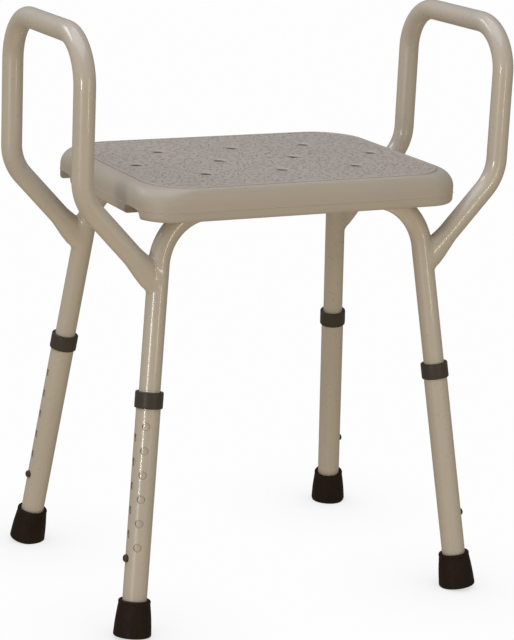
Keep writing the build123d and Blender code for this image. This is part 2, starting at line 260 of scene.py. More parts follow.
def grid_faces(rows, count, first=0, wrap=False):
    """Quads between rows of points that are closed rings, and between the last row and the first."""
    faces = []
    for i in range(rows if wrap else rows - 1):
        a = first + i * count
        b = first + (i + 1) % rows * count
        for j in range(count):
            k = (j + 1) % count
            faces.append((a + j, a + k, b + k, b + j))
    return faces


def round_skin(made, axis_point, is_skin):
    """Exact normals on a tube's outer skin, away from its axis, so that cut holes leave no shading marks."""
    normals = []
    for face in made.data.polygons:
        skin = is_skin(face)
        for index in face.vertices:
            spot = made.data.vertices[index].co
            normals.append((spot - axis_point(spot)).normalized() if skin else (0, 0, 0))
    made.data.normals_split_custom_set(normals)


def bent_path(corners, radius, step=3.0):
    """Points and directions along straight runs joined by arcs."""
    path = [(corners[0], (corners[1] - corners[0]).normalized())]
    for before, corner, after in zip(corners, corners[1:], corners[2:]):
        start = (corner - before).normalized()
        end = (after - corner).normalized()
        turn = start.angle(end)
        inward = (end - start).normalized()
        centre = corner + inward * radius / cos(turn / 2)
        first = corner - start * radius * tan(turn / 2) - centre
        axis = start.cross(end).normalized()
        count = int(radius * turn / step) + 1
        for i in range(count + 1):
            swing = Matrix.Rotation(turn * i / count, 3, axis)
            path.append((centre + swing @ first, swing @ start))
    path.append((corners[-1], (corners[-1] - corners[-2]).normalized()))
    return path


def fill_runs(path, longest=30.0):
    """The same path with long straight runs divided evenly."""
    out = [path[0]]
    for (a, _), (b, direction) in zip(path, path[1:]):
        parts = int((b - a).length / longest) + 1
        out += [(a + (b - a) * i / parts, direction) for i in range(1, parts)]
        out.append((b, direction))
    return out


def swept_rows(path, side, sections, count=56):
    """Rings of points along a path.

    A section gives half sizes along and across the carried side direction."""
    rows = []
    previous = path[0][1]
    for (point, direction), (half_side, half_other) in zip(path, sections):
        side = previous.rotation_difference(direction) @ side
        previous = direction
        other = direction.cross(side)
        rows.append([
            point + side * half_side * cos(2 * pi * j / count) + other * half_other * sin(2 * pi * j / count)
            for j in range(count)
        ])
    return rows


def soften(outline, size, steps=4):
    """An outline with its corners rounded; its first and last points stay."""
    out = [outline[0]]
    for before, corner, after in zip(outline, outline[1:], outline[2:]):
        before, corner, after = Vector(before), Vector(corner), Vector(after)
        start = corner + (before - corner).normalized() * min(size, (before - corner).length * 0.45)
        end = corner + (after - corner).normalized() * min(size, (after - corner).length * 0.45)
        for i in range(steps + 1):
            t = i / steps
            out.append(start * (1 - t) ** 2 + corner * 2 * t * (1 - t) + end * t**2)
    out.append(outline[-1])
    return out


def revolve(name, outline, place, steps=72, closed=False):
    """A solid turned from (radius, height) points: a ring if closed, else from axis to axis."""
    vertices = []
    for radius, height in outline:
        for j in range(steps):
            turn = 2 * pi * j / steps
            vertices.append(place @ Vector((radius * cos(turn), radius * sin(turn), height)))
    made = new_object(name, vertices, grid_faces(len(outline), steps, wrap=closed))
    tidy_normals(made)
    return made


def paint(made, material):
    made.data.materials.clear()
    made.data.materials.append(material)


# ---------------------------------------------------------------- materials
def new_material(name, colour, roughness, **shader_values):
    """A node material; the object's own coordinates in metres drive what varies."""
    material = bpy.data.materials.new(name)
    material.use_nodes = True
    shader = material.node_tree.nodes["Principled BSDF"]
    shader.inputs["Base Color"].default_value = (*colour, 1)
    shader.inputs["Roughness"].default_value = roughness
    for socket, value in shader_values.items():
        shader.inputs[socket.replace("_", " ")].default_value = value
    return material


def add(material, kind, inputs=None, **settings):
    """A node with its settings and inputs; an input that is a socket is linked."""
    tree = material.node_tree
    made = tree.nodes.new("ShaderNode" + kind)
    for key, value in settings.items():
        setattr(made, key, value)
    for key, value in (inputs or {}).items():
        if isinstance(value, bpy.types.NodeSocket):
            tree.links.new(value, made.inputs[key])
        else:
            made.inputs[key].default_value = value
    return made


def where(material):
    return add(material, "TexCoord").outputs["Object"]


def speckle(material, place, scale, detail=2.0, roughness=0.5):
    inputs = {"Vector": place, "Scale": scale, "Detail": detail, "Roughness": roughness}
    return add(material, "TexNoise", inputs).outputs["Fac"]


def spread(material, value, low, high, start=0.3, stop=0.7):
    inputs = {"Value": value, "From Min": start, "From Max": stop, "To Min": low, "To Max": high}
    return add(material, "MapRange", inputs).outputs["Result"]


def maths(material, operation, *values):
    inputs = dict(enumerate(values))
    return add(material, "Math", inputs, operation=operation).outputs["Value"]


def tint(material, factor, dark, light):
    """A colour between two, by a factor."""
    inputs = {"Factor": factor, "A": (*dark, 1), "B": (*light, 1)}
    mix = material.node_tree.nodes.new("ShaderNodeMix")
    mix.data_type = "RGBA"
    sockets = {"Factor": mix.inputs[0], "A": mix.inputs[6], "B": mix.inputs[7]}
    for key, value in inputs.items():
        if isinstance(value, bpy.types.NodeSocket):
            material.node_tree.links.new(value, sockets[key])
        else:
            sockets[key].default_value = value
    return mix.outputs[2]


def drive(material, **sockets):
    """Links values to the shader's sockets."""
    shader = material.node_tree.nodes["Principled BSDF"]
    for name, value in sockets.items():
        material.node_tree.links.new(value, shader.inputs[name.replace("_", " ")])


def bump(material, height, distance, strength=1.0):
    inputs = {"Height": height, "Distance": distance, "Strength": strength}
    drive(material, Normal=add(material, "Bump", inputs).outputs["Normal"])


def shaded(colour, factor):
    return tuple(channel * factor for channel in colour)


COAT = (0.40, 0.345, 0.275)


def powder_coat(name="powder_coat", grain=0.000012):
    """Glossy oven-baked powder: an even colour with a soft orange peel."""
    material = new_material(name, COAT, 0.35, Coat_Weight=0.4, Coat_Roughness=0.06)
    place = where(material)
    cloudy = speckle(material, place, 14, 3)
    drive(material, Base_Color=tint(material, cloudy, shaded(COAT, 0.95), shaded(COAT, 1.05)))
    drive(material, Roughness=spread(material, speckle(material, place, 90), 0.26, 0.36))
    bump(material, speckle(material, place, 300, 1), grain)
    return material


BORDER = (0.349, 0.301, 0.244)
PANEL = (0.372, 0.313, 0.264)
STROKE = (0.150, 0.117, 0.092)


def seat_border(name="seat_border", shade=1.0, roughness=0.48):
    """Semi-gloss moulded plastic with a fine grain. A darkened, rough copy is used inside the drains as
    painted shade for the holes' shadow.
    """
    colour = shaded(BORDER, shade)
    material = new_material(name, colour, roughness)
    place = where(material)
    cloudy = speckle(material, place, 10, 4)
    drive(material, Base_Color=tint(material, cloudy, shaded(colour, 0.94), shaded(colour, 1.05)))
    grain = speckle(material, place, 160)
    drive(material, Roughness=spread(material, grain, roughness - 0.06, roughness + 0.07))
    bump(material, speckle(material, place, 700, 3), 0.00006)
    return material


def squiggles(material, place, pitch, seed):
    """Short bent strokes, one in each cell, from 0 between strokes to 1 on them."""
    shifted = add(material, "VectorMath", {0: place, 1: (seed, seed * 1.7, 0)}, operation="ADD")
    flat = add(material, "VectorMath", {0: shifted.outputs["Vector"], 1: (1, 1, 0)}, operation="MULTIPLY")
    cell = add(material, "TexVoronoi", {"Vector": flat.outputs["Vector"], "Scale": 1 / pitch})
    random = add(material, "SeparateColor", {"Color": cell.outputs["Color"]})
    offset_inputs = {0: flat.outputs["Vector"], 1: cell.outputs["Position"]}
    offset = add(material, "VectorMath", offset_inputs, operation="SUBTRACT")
    angle = maths(material, "MULTIPLY", random.outputs["Red"], 2 * pi)
    turn_inputs = {"Vector": offset.outputs["Vector"], "Angle": angle}
    turned = add(material, "VectorRotate", turn_inputs, rotation_type="Z_AXIS")
    parts = add(material, "SeparateXYZ", {"Vector": turned.outputs["Vector"]})
    along, across = parts.outputs["X"], parts.outputs["Y"]
    bend = spread(material, random.outputs["Green"], -130.0, 130.0, 0.0, 1.0)
    curve = maths(material, "MULTIPLY", maths(material, "MULTIPLY", along, along), bend)
    side = maths(material, "ABSOLUTE", maths(material, "ADD", across, curve))
    half_length = spread(material, random.outputs["Blue"], 0.0016, 0.0038, 0.0, 1.0)
    beyond = maths(material, "SUBTRACT", maths(material, "ABSOLUTE", along), half_length)
    reach = maths(material, "MAXIMUM", side, maths(material, "ADD", beyond, 0.0003))
    return spread(material, reach, 1.0, 0.0, 0.00034, 0.00062)


def seat_panel():
    """The non-slip panel: the same plastic, embossed with short dark strokes."""
    material = new_material("seat_panel", PANEL, 0.5, Coat_Weight=0.1, Coat_Roughness=0.35)
    place = where(material)
    strokes = maths(
        material,
        "MAXIMUM",
        squiggles(material, place, 0.0082, 0.013),
        squiggles(material, place, 0.0115, 0.377),
    )
    base = tint(material, speckle(material, place, 10, 4), shaded(PANEL, 0.97), shaded(PANEL, 1.05))
    mix = material.node_tree.nodes.new("ShaderNodeMix")
    mix.data_type = "RGBA"
    material.node_tree.links.new(strokes, mix.inputs[0])
    material.node_tree.links.new(base, mix.inputs[6])
    mix.inputs[7].default_value = (*STROKE, 1)
    drive(material, Base_Color=mix.outputs[2])
    grain = maths(material, "MULTIPLY", speckle(material, place, 800, 2), 0.25)
    bump(material, maths(material, "SUBTRACT", grain, strokes), 0.00018)
    return material


def rubber():
    colour = (0.0114, 0.0057, 0.0024)
    material = new_material("ferrule_rubber", colour, 0.6, Specular_IOR_Level=0.12)
    place = where(material)
    cloudy = speckle(material, place, 48, 6, 0.65)
    drive(material, Base_Color=tint(material, cloudy, shaded(colour, 0.5), shaded(colour, 1.6)))
    drive(material, Roughness=spread(material, speckle(material, place, 200, 3), 0.5, 0.7))
    bump(material, speckle(material, place, 900, 4), 0.00008)
    return material


def dark_plastic(name, colour, roughness):
    """Satin moulded plastic with a spark-eroded grain."""
    material = new_material(name, colour, roughness, Specular_IOR_Level=0.2)
    place = where(material)
    cloudy = speckle(material, place, 80, 3)
    drive(material, Base_Color=tint(material, cloudy, shaded(colour, 0.85), shaded(colour, 1.2)))
    grain = speckle(material, place, 300)
    drive(material, Roughness=spread(material, grain, roughness - 0.06, roughness + 0.06))
    bump(material, speckle(material, place, 1400, 2), 0.00004)
    return material


def bright_metal(name, colour, roughness):
    """Drawn or plated metal with fine streaks and a little dulling."""
    material = new_material(name, colour, roughness, Metallic=1.0)
    place = where(material)
    dulled = speckle(material, place, 120, 4)
    drive(material, Base_Color=tint(material, dulled, shaded(colour, 0.8), colour))
    drive(material, Roughness=spread(material, dulled, roughness - 0.08, roughness + 0.12))
    stretched = add(material, "Mapping", {"Vector": place, "Scale": (1, 1, 12)})
    bump(material, speckle(material, stretched.outputs["Vector"], 900, 2), 0.00002)
    return material


# ---------------------------------------------------------------- seat
def ring_outline(half, corner, inset):
    """A rounded rectangle with the same count of points for every size, anticlockwise from +X."""
    straight = {0: 34, 1: 22}     # steps along the long and the short sides
    arc = 18
    a, b, r = half[0] - inset, half[1] - inset, corner - inset
    points = []
    for quarter in range(4):
        start = quarter * pi / 2
        cx = (a - r) * (1 if quarter in (0, 3) else -1)
        cy = (b - r) * (1 if quarter in (0, 1) else -1)
        for i in range(arc):
            turn = start + pi / 2 * i / arc
            points.append((cx + r * cos(turn), cy + r * sin(turn)))
        side = straight[quarter % 2]
        length = 2 * (a - r) if quarter % 2 == 0 else 2 * (b - r)
        end = start + pi / 2
        for i in range(side):
            step = length * i / side
            x = cx + r * cos(end) - step * sin(end)
            y = cy + r * sin(end) + step * cos(end)
            points.append((x, y))
    return points


def between(inner, outer, share):
    return [(p[0] + (q[0] - p[0]) * share, p[1] + (q[1] - p[1]) * share) for p, q in zip(inner, outer)]


def seat_rows():
    """Rings of points from the panel's edge to the underside, over the bead, groove, roll and skirt."""
    rows = []

    def bead_row(out, z):
        rows.append([(x, y, z) for x, y in ring_outline(BEAD_HALF, BEAD_CORNER, -out)])

    for i in range(9):
        turn = pi * i / 8
        bead_row(-BEAD_HALF_WIDTH * cos(turn), SEAT_TOP + BEAD_RISE * sin(turn))
    for share, depth in ((0.15, 0.75), (0.35, 1.0), (0.6, 0.7)):
        bead_row(BEAD_HALF_WIDTH + GROOVE_WIDTH * share, SEAT_TOP - GROOVE_DEPTH * depth)
    inner = ring_outline(BEAD_HALF, BEAD_CORNER, -BEAD_HALF_WIDTH - GROOVE_WIDTH)
    outer = ring_outline(SEAT_HALF, SEAT_CORNER, SKIRT_DRAFT)
    for i in range(19):
        turn = pi / 2 * i / 18
        z = SEAT_TOP - ROLL_DROP * (1 - cos(turn))
        rows.append([(x, y, z) for x, y in between(inner, outer, sin(turn))])
    parting = SEAT_TOP - PARTING_DROP
    bottom = SEAT_BOTTOM + BOTTOM_ROUND

    def skirt_row(inset, z):
        rows.append([(x, y, z) for x, y in ring_outline(SEAT_HALF, SEAT_CORNER, inset)])

    skirt_row(SKIRT_DRAFT, parting + 1.2)
    skirt_row(SKIRT_DRAFT * 0.9, parting + 0.45)
    skirt_row(0, parting + 0.25)
    skirt_row(0, parting - 0.15)
    skirt_row(SKIRT_DRAFT * 0.9, parting - 0.4)
    skirt_row(SKIRT_DRAFT * 1.4, bottom)
    for i in range(1, 9):
        turn = pi / 2 * i / 8
        inset = SKIRT_DRAFT * 1.4 + BOTTOM_ROUND * (1 - cos(turn))
        skirt_row(inset, bottom - BOTTOM_ROUND * sin(turn))
    return rows


def drain_places():
    outer = [(i * DRAIN_PITCH[0], j * DRAIN_PITCH[1]) for j in (-1, 1) for i in (-1, 0, 1)]
    inner = DRAIN_PITCH[0] / 2
    return outer + [(x, 0) for x in (-DRAIN_OUTER, -inner, inner, DRAIN_OUTER)]


def drain_profile():
    """(radius, height) from the top face, down the dish, through the hole to the underside."""
    profile = []
    for i in range(13):
        share = i / 12
        fall = DISH_DEPTH * share * share * (3 - 2 * share)
        profile.append((DISH_R - (DISH_R - DRAIN_R - 0.9) * share, SEAT_TOP - fall))
    for i in range(1, 6):
        turn = pi / 2 * i / 5
        profile.append((DRAIN_R + 0.9 * (1 - sin(turn)), SEAT_TOP - DISH_DEPTH - 1.6 * (1 - cos(turn))))
    profile.append((DRAIN_R, SEAT_BOTTOM + 1.2))
    profile.append((DRAIN_R + 0.4, SEAT_BOTTOM + 0.3))
    profile.append((DRAIN_R + 1.2, SEAT_BOTTOM))
    return profile


def seat_cutter(name, size, centre, round_to):
    """A long block along X with a rounded top, which cuts a channel or a notch."""
    half_y, top, low = size
    outline = [(half_y, low), (half_y, top - round_to)]
    for i in range(1, 12):
        turn = pi / 2 * i / 12
        outline.append((half_y - round_to * (1 - cos(turn)), top - round_to * (1 - sin(turn))))
    outline.append((half_y - round_to, top))
    if half_y - round_to > 0.01:
        outline.append((-(half_y - round_to), top))
    outline += [(-y, z) for y, z in reversed(outline[:-2 if half_y - round_to > 0.01 else -1])]
    start, stop, y0 = centre
    vertices = [(x, y0 + y, z) for x in (start, stop) for y, z in outline]
    count = len(outline)
    faces = [(i, (i + 1) % count, count + (i + 1) % count, count + i) for i in range(count)]
    faces += [tuple(range(count - 1, -1, -1)), tuple(range(count, 2 * count))]
    made = new_object(name, vertices, faces)
    tidy_normals(made)
    return made


def make_seat(border, panel, drain_painted_shade):
    """The moulded board, with a beaded panel, dished drains and channels for the cross bars."""
    rows = seat_rows()
    ring = len(rows[0])
    vertices = [point for row in rows for point in row]
    faces = grid_faces(len(rows), ring)
    profile = drain_profile()
    around = 40
    edge_rings = [(0, SEAT_TOP, True), (len(rows) - 1, SEAT_BOTTOM, False)]
    top_holes, bottom_holes = [], []
    for x, y in drain_places():
        first = len(vertices)
        for radius, z in profile:
            vertices += [
                (x + radius * cos(2 * pi * j / around), y + radius * sin(2 * pi * j / around), z)
                for j in range(around)
            ]
        faces += grid_faces(len(profile), around, first)
        top_holes.append(first)
        bottom_holes.append(first + (len(profile) - 1) * around)
    panel_faces = []
    for row, z, is_top in edge_rings:
        loops = [[row * ring + j for j in range(ring)]]
        loops += [[first + j for j in range(around)] for first in (top_holes if is_top else bottom_holes)]
        used = [i for loop in loops for i in loop]
        spot = {index: k for k, index in enumerate(used)}
        edges = [(spot[loop[j]], spot[loop[j - 1]]) for loop in loops for j in range(len(loop))]
        flat = [Vector(vertices[i][:2]) for i in used]
        made = delaunay_2d_cdt(flat, edges, [], 1, 1e-6)
        reach = profile[0][0] if is_top else profile[-1][0]
        for triangle in made[2]:
            middle = sum((made[0][k] for k in triangle), Vector((0, 0))) / 3
            if min(hypot(middle.x - x, middle.y - y) for x, y in drain_places()) > reach - 0.05:
                faces.append(tuple(used[made[3][k][0]] for k in triangle))
                if is_top:
                    panel_faces.append(faces[-1])
    seat = new_object("seat_shell", vertices, faces)
    tidy_normals(seat, radians(40))
    for sy in (-1, 1):
        low = SEAT_BOTTOM - 20
        slot = (CHANNEL_HALF, CHANNEL_ROOF, low)
        cut(seat, seat_cutter("slot", slot, (-CHANNEL_END, CHANNEL_END, sy * CHANNEL_Y), CHANNEL_HALF))
        for sx in (-1, 1):
            ends = sorted((sx * (CHANNEL_END - 4), sx * (SEAT_HALF[0] + 20)))
            notch = (NOTCH_HALF, SEAT_BOTTOM + NOTCH_HEIGHT, low)
            cut(seat, seat_cutter("notch", notch, (*ends, sy * CHANNEL_Y), NOTCH_ROUND))
            place = Matrix.Translation((sx * BORE_X, sy * CHANNEL_Y, 0))
            bore = [(0, CHANNEL_ROOF - 10), (BORE_R, CHANNEL_ROOF - 10), (BORE_R, BORE_TOP), (0, BORE_TOP)]
            cut(seat, revolve("bore", bore, place, 32))
    tidy_normals(seat, radians(32))
    seat.data.materials.clear()
    seat.data.materials.append(border)
    seat.data.materials.append(panel)
    seat.data.materials.append(drain_painted_shade)
    inside = [half - BEAD_HALF_WIDTH - 0.3 for half in BEAD_HALF]
    for face in seat.data.polygons:
        middle = face.center / MM
        is_flat = face.normal.z > 0.999 and abs(middle.z - SEAT_TOP) < 0.05
        if is_flat and abs(middle.x) < inside[0] and abs(middle.y) < inside[1]:
            face.material_index = 1
        # painted shade: faces in and round each drain hole take the darkened copy of the border, standing in
        # for the hole's shadow
        elif min(hypot(middle.x - x, middle.y - y) for x, y in drain_places()) < DRAIN_R + 1.6:
            face.material_index = 2
    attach(seat, "frame")
    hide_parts("seat_board")
    return seat


# ---------------------------------------------------------------- legs
def middle_of(node):
    low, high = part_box(node)
    return (low + high) / 2 / MM


def leg_place(leg):
    """A leg's own frame: origin at the ferrule's base, z up the leg, x outward."""
    up = -Vector(joints[f"{leg}_leg_height"]["axis"]).normalized()
    outward = -Vector(joints[f"{leg}_button_press"]["axis"]).normalized()
    origin = middle_of(f"{leg}_ferrule_washer") - up * WASHER_ALONG
    turn = Matrix((outward, up.cross(outward), up)).transposed()
    return Matrix.Translation(origin) @ turn.to_4x4()


def make_ferrule(leg, material):
    """A rubber tip: rolled rim, slightly bulged cone, ringed sole, ground level where it stands."""
    outline = [(0, TREAD_DEPTH)]
    for radius in TREAD_RADII:
        outline += [(radius, TREAD_DEPTH), (radius, 0)]
        outline += [(radius + TREAD_WIDTH, 0), (radius + TREAD_WIDTH, TREAD_DEPTH)]
    low, high = FERRULE_WALL
    outline += [(17.6, TREAD_DEPTH), (17.6, 0), (18.6, 0), (19.5, 0.6), (FERRULE_R, low)]
    for i in range(1, 9):
        share = i / 8
        radius = FERRULE_R - FERRULE_TAPER * share + FERRULE_BULGE * sin(pi * share)
        outline.append((radius, low + (high - low) * share))
    outline += [(16.75, 34.9), (16.9, 35.8), (16.8, 36.7), (16.3, 37.5), (15.5, 38.0), (14.2, 37.8)]
    outline += [(13.1, 37.2), (LEG_R, 36.4), (LEG_R, 6.0), (0, 6.0)]
    made = revolve("ferrule_" + leg, soften(outline, 0.5, 3), leg_place(leg), 80)
    work = bmesh.new()
    work.from_mesh(made.data)
    everything = work.verts[:] + work.edges[:] + work.faces[:]
    sliced = bmesh.ops.bisect_plane(
        work, geom=everything, dist=1e-8, plane_co=(0, 0, 0), plane_no=(0, 0, -1), clear_outer=True
    )
    rim = [item for item in sliced["geom_cut"] if isinstance(item, bmesh.types.BMEdge)]
    bmesh.ops.holes_fill(work, edges=[edge for edge in rim if len(edge.link_faces) == 1], sides=0)
    work.to_mesh(made.data)
    work.free()
    tidy_normals(made)
    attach(made, f"{leg}_lower_leg")
    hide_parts(f"{leg}_ferrule")
    paint(made, material)


def make_leg_tube(leg, coat, metal):
    """A coated tube with two rows of punched holes, whose cut edges and bore are bare."""
    place = leg_place(leg)
    turn_side = SECOND_ROW_SIDE[leg] * SECOND_ROW_TURN
    bands = [FIRST_HOLE + HOLE_PITCH / 2 * (i - 0.5) for i in range(2 * HOLE_COUNT + 1)]
    outer = [TUBE_START, TUBE_START + 0.3, *bands, TUBE_END - 0.3, TUBE_END]
    outline = [(LEG_R - (0.25 if z in (TUBE_START, TUBE_END) else 0), z) for z in outer]
    outline += [(LEG_BORE, z) for z in reversed((TUBE_START, *bands, TUBE_END))]
    made = revolve("leg_tube_" + leg, outline, place, 112, closed=True)
    drill = [(0, -LEG_R * 1.5), (HOLE_R, -LEG_R * 1.5), (HOLE_R, 0), (0, 0)]
    for i in range(HOLE_COUNT):
        for along, turn in ((0, 0), (HOLE_PITCH / 2, turn_side)):
            side = Matrix.Rotation(turn, 4, "Z") @ Matrix.Rotation(-pi / 2, 4, "Y")
            hole = place @ Matrix.Translation((0, 0, FIRST_HOLE + i * HOLE_PITCH + along)) @ side
            cut(made, revolve("drill", drill, hole, 40))
    inverse = place.inverted()

    def radius(point):
        spot = inverse @ (point / MM)
        return hypot(spot.x, spot.y)

    work = bmesh.new()
    work.from_mesh(made.data)
    bmesh.ops.remove_doubles(work, verts=work.verts, dist=1e-7)
    work.normal_update()
    bare = {face for face in work.faces if radius(face.calc_center_median()) < LEG_R - 0.15}
    rims = [
        edge
        for edge in work.edges
        if len(edge.link_faces) == 2 and sum(face in bare for face in edge.link_faces) == 1
        and min(radius(vertex.co) for vertex in edge.verts) > LEG_R - 0.05
        and edge.calc_face_angle() > radians(40)
    ]
    for face in work.faces:
        face.material_index = 1 if face in bare else 0
    bmesh.ops.bevel(work, geom=rims, offset=RIM * MM, segments=2, profile=0.5, affect="EDGES", material=1)
    work.to_mesh(made.data)
    work.free()
    tidy_normals(made)

    def axis_point(spot):
        return place @ Vector((0, 0, (inverse @ (spot / MM)).z)) * MM

    round_skin(made, axis_point, lambda face: face.material_index == 0 and radius(face.center) > LEG_R - 0.1)
    made.data.materials.clear()
    made.data.materials.append(coat)
    made.data.materials.append(metal)
    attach(made, f"{leg}_lower_leg")
    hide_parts(f"{leg}_leg_tube")


def make_collar(leg, material):
    """A moulded cap with softly rounded rims and a fine mould line."""
    outline = [(LEG_R, COLLAR_LOW), (COLLAR_R, COLLAR_LOW)]
    for along, rise in ((-0.3, 0), (-0.15, MOULD_LINE_RISE), (0.15, MOULD_LINE_RISE), (0.3, 0)):
        outline.append((COLLAR_R + rise, MOULD_LINE_Z + along))
    outline += [(COLLAR_R, COLLAR_TOP), (COLLAR_LIP_R, COLLAR_TOP), (COLLAR_LIP_R, TUBE_END)]
    outline += [(LEG_R, TUBE_END), (LEG_R, COLLAR_LOW)]
    ring = soften(outline, 1.3, 6)[:-1]
    made = revolve("collar_" + leg, ring, leg_place(leg), 80, closed=True)
    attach(made, f"{leg}_lower_leg")
    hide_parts(f"{leg}_leg_collar")
    paint(made, material)


def make_button(leg, material):
    """A domed snap button with the flange that holds it in."""
    press = leg_place(leg)
    place = press @ Matrix.Translation((0, 0, FIRST_HOLE)) @ Matrix.Rotation(pi / 2, 4, "Y")
    outline = [(0, FLANGE_BACK), (FLANGE_R - 0.3, FLANGE_BACK), (FLANGE_R, FLANGE_BACK + 0.3)]
    outline += [(FLANGE_R, FLANGE_FRONT - 0.2), (FLANGE_R - 0.3, FLANGE_FRONT)]
    outline += [(BUTTON_R, FLANGE_FRONT), (BUTTON_R, BUTTON_SHOULDER)]
    for i in range(1, 11):
        turn = pi / 2 * i / 10
        outline.append((BUTTON_R * cos(turn), BUTTON_SHOULDER + BUTTON_DOME * sin(turn)))
    made = revolve("button_" + leg, outline, place, 48)
    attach(made, f"{leg}_button")
    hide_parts(f"{leg}_snap_button")
    paint(made, material)


# ---------------------------------------------------------------- frame tubes
def top_corner(leg):
    """Where a leg's centreline would meet its cross bar's."""
    place = leg_place(leg)
    up = place.to_3x3().col[2]
    base = place.to_translation()
    return base + up * ((CROSS_Z - base.z) / up.z)


def make_leg_frame(end, coat):
    """One bent tube: leg, cross bar, leg, with the holes for the buttons and the seat's screws."""
    left, right = leg_place(f"{end}_left"), leg_place(f"{end}_right")
    tips = [place @ Vector((0, 0, FRAME_END)) for place in (left, right)]
    corners = [tips[0], top_corner(f"{end}_left"), top_corner(f"{end}_right"), tips[1]]
    path = fill_runs(bent_path(corners, LEG_BEND_R))
    side = left.to_3x3().col[0]
    rows = swept_rows(path, side, [(TUBE_R, TUBE_R)] * len(path))
    bore = TUBE_R - TUBE_WALL
    rows += reversed(swept_rows(path, side, [(bore, bore)] * len(path)))
    vertices = [point for row in rows for point in row]
    made = new_object(f"leg_frame_{end}", vertices, grid_faces(len(rows), len(rows[0]), wrap=True))
    tidy_normals(made)

    def drill(radius, depth, place):
        outline = [(0, 0), (radius, 0), (radius, depth), (0, depth)]
        cut(made, revolve("drill", outline, place, 32))

    for place, corner in ((left, corners[1]), (right, corners[2])):
        button = place @ Matrix.Translation((0, 0, FIRST_HOLE)) @ Matrix.Rotation(pi / 2, 4, "Y")
        drill(HOLE_R, TUBE_R * 1.5, button)
        middle = Matrix.Translation((BORE_X * (1 if corner.x > 0 else -1), corner.y, CROSS_Z))
        drill(SCREW_HOLE_R, TUBE_R * 1.5, middle)
        drill(ACCESS_R, TUBE_R * 1.5, middle @ Matrix.Rotation(pi, 4, "X"))
    tidy_normals(made)
    fine = fill_runs(path, 0.8)
    tree = KDTree(len(fine))
    for i, (point, _) in enumerate(fine):
        tree.insert(point, i)
    tree.balance()

    def axis_point(spot):
        found, index, _ = tree.find(spot / MM)
        direction = fine[index][1]
        return (found + direction * (spot / MM - found).dot(direction)) * MM

    def is_skin(face):
        out = face.center - axis_point(face.center)
        return out.length > (TUBE_R - 0.3) * MM and face.normal.dot(out.normalized()) > 0.8

    round_skin(made, axis_point, is_skin)
    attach(made, "frame")
    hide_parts(f"{end}_leg_frame")
    paint(made, coat)


def arm_section(distance, inset=0.0):
    """Half width and half thickness of an arm's tube at a distance from its root."""
    share = min(1, distance / ARM_FLARE) ** 1.6
    round_part = share * share * (3 - 2 * share)
    return tuple(half + (TUBE_R - half) * round_part - inset for half in ARM_END_HALF)


class ArmEnd:
    """The joint of an arm and a leg: the leg's axis, the arm's root on it and its directions."""

    def __init__(self, leg):
        place = leg_place(leg)
        self.up = place.to_3x3().col[2]
        base = place.to_translation()
        self.root = base + self.up * ((ARM_WELD_Z - base.z) / self.up.z)
        sx = -1 if "left" in leg else 1
        sy = -1 if "front" in leg else 1
        self.corner = Vector((sx * ARM_X, sy * ARM_Y, ARM_BEND_Z))
        self.along = (self.corner - self.root).normalized()
        self.wide = (self.up - self.along * self.up.dot(self.along)).normalized()
        self.thick = self.along.cross(self.wide)

    def skin(self, turn, distance, inset=0.0):
        half_width, half_thickness = arm_section(distance, inset)
        out = self.wide * half_width * cos(turn) + self.thick * half_thickness * sin(turn)
        return self.root + self.along * distance + out

    def reach(self, turn, inset=0.0):
        """How far from the root the tube's skin, at an angle round it, comes out of the leg."""
        across = self.along - self.up * self.along.dot(self.up)
        distance = TUBE_R
        for _ in range(4):
            out = self.skin(turn, distance, inset) - self.root - self.along * distance
            flat = out - self.up * out.dot(self.up)
            q, m = flat.dot(across), across.length_squared
            distance = (-q + sqrt(max(0, q * q - m * (flat.length_squared - TUBE_R**2)))) / m
        return distance


def weld_sizes(turn, place):
    """Widths of a bead on the arm and on the leg, and how far it bulges, by the angle round the arm.

    The bead is thin in the crotch above and long below, and wanders a little as a hand-made one does."""
    below = max(0, -cos(turn)) ** 1.5
    above = max(0, cos(turn)) ** 1.5
    flank = 1 - below - above
    on_arm = 3.0 * above + 6.0 * flank + 8.5 * below + 0.5 * noise(place * 0.2)
    on_leg = 2.6 * above + 6.5 * flank + 6.0 * below + 0.6 * noise(place * 0.17 + Vector((5, 0, 0)))
    bulge = 0.5 * above + 0.9 * flank - 2.2 * below + 0.25 * noise(place * 0.35)
    return on_arm, on_leg, bulge


def make_arm(side, coat):
    """One bent tube whose flattened ends stop short of the legs, inside the weld beads."""
    ends = [ArmEnd(f"{end}_{side}") for end in ("front", "rear")]
    sx = ends[0].corner.x
    bends = [end.corner for end in ends]
    tops = [Vector((sx, bend.y, ARM_TOP_Z)) for bend in bends]
    flares = [end.root + end.along * ARM_FLARE for end in ends]
    middle = fill_runs(bent_path([flares[0], bends[0], *tops, bends[1], flares[1]], ARM_BEND_R))
    count, steps = 56, 14
    rows = []
    for inset in (0.0, TUBE_WALL):
        half = TUBE_R - inset
        body = swept_rows(middle, ends[0].wide, [(half, half)] * len(middle), count)
        flared = []
        for end, ring in zip(ends, (body[0], body[-1])):
            turns = []
            for point in ring:
                out = point - end.root
                turns.append(atan2(out.dot(end.thick), out.dot(end.wide)))
            block = []
            for i in range(steps):
                row = []
                for turn in turns:
                    start = end.reach(turn, inset)
                    start += weld_sizes(turn, end.skin(turn, start))[0] - 0.8
                    distance = start + (ARM_FLARE - start) * (i / steps)
                    row.append(end.skin(turn, distance, inset))
                block.append(row)
            flared.append(block)
        outer = flared[0] + body + list(reversed(flared[1]))
        rows += outer if inset == 0 else list(reversed(outer))
    vertices = [point for row in rows for point in row]
    made = new_object(f"arm_{side}", vertices, grid_faces(len(rows), count, wrap=True))
    tidy_normals(made)
    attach(made, "frame")
    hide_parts(f"{side}_arm")
    paint(made, coat)


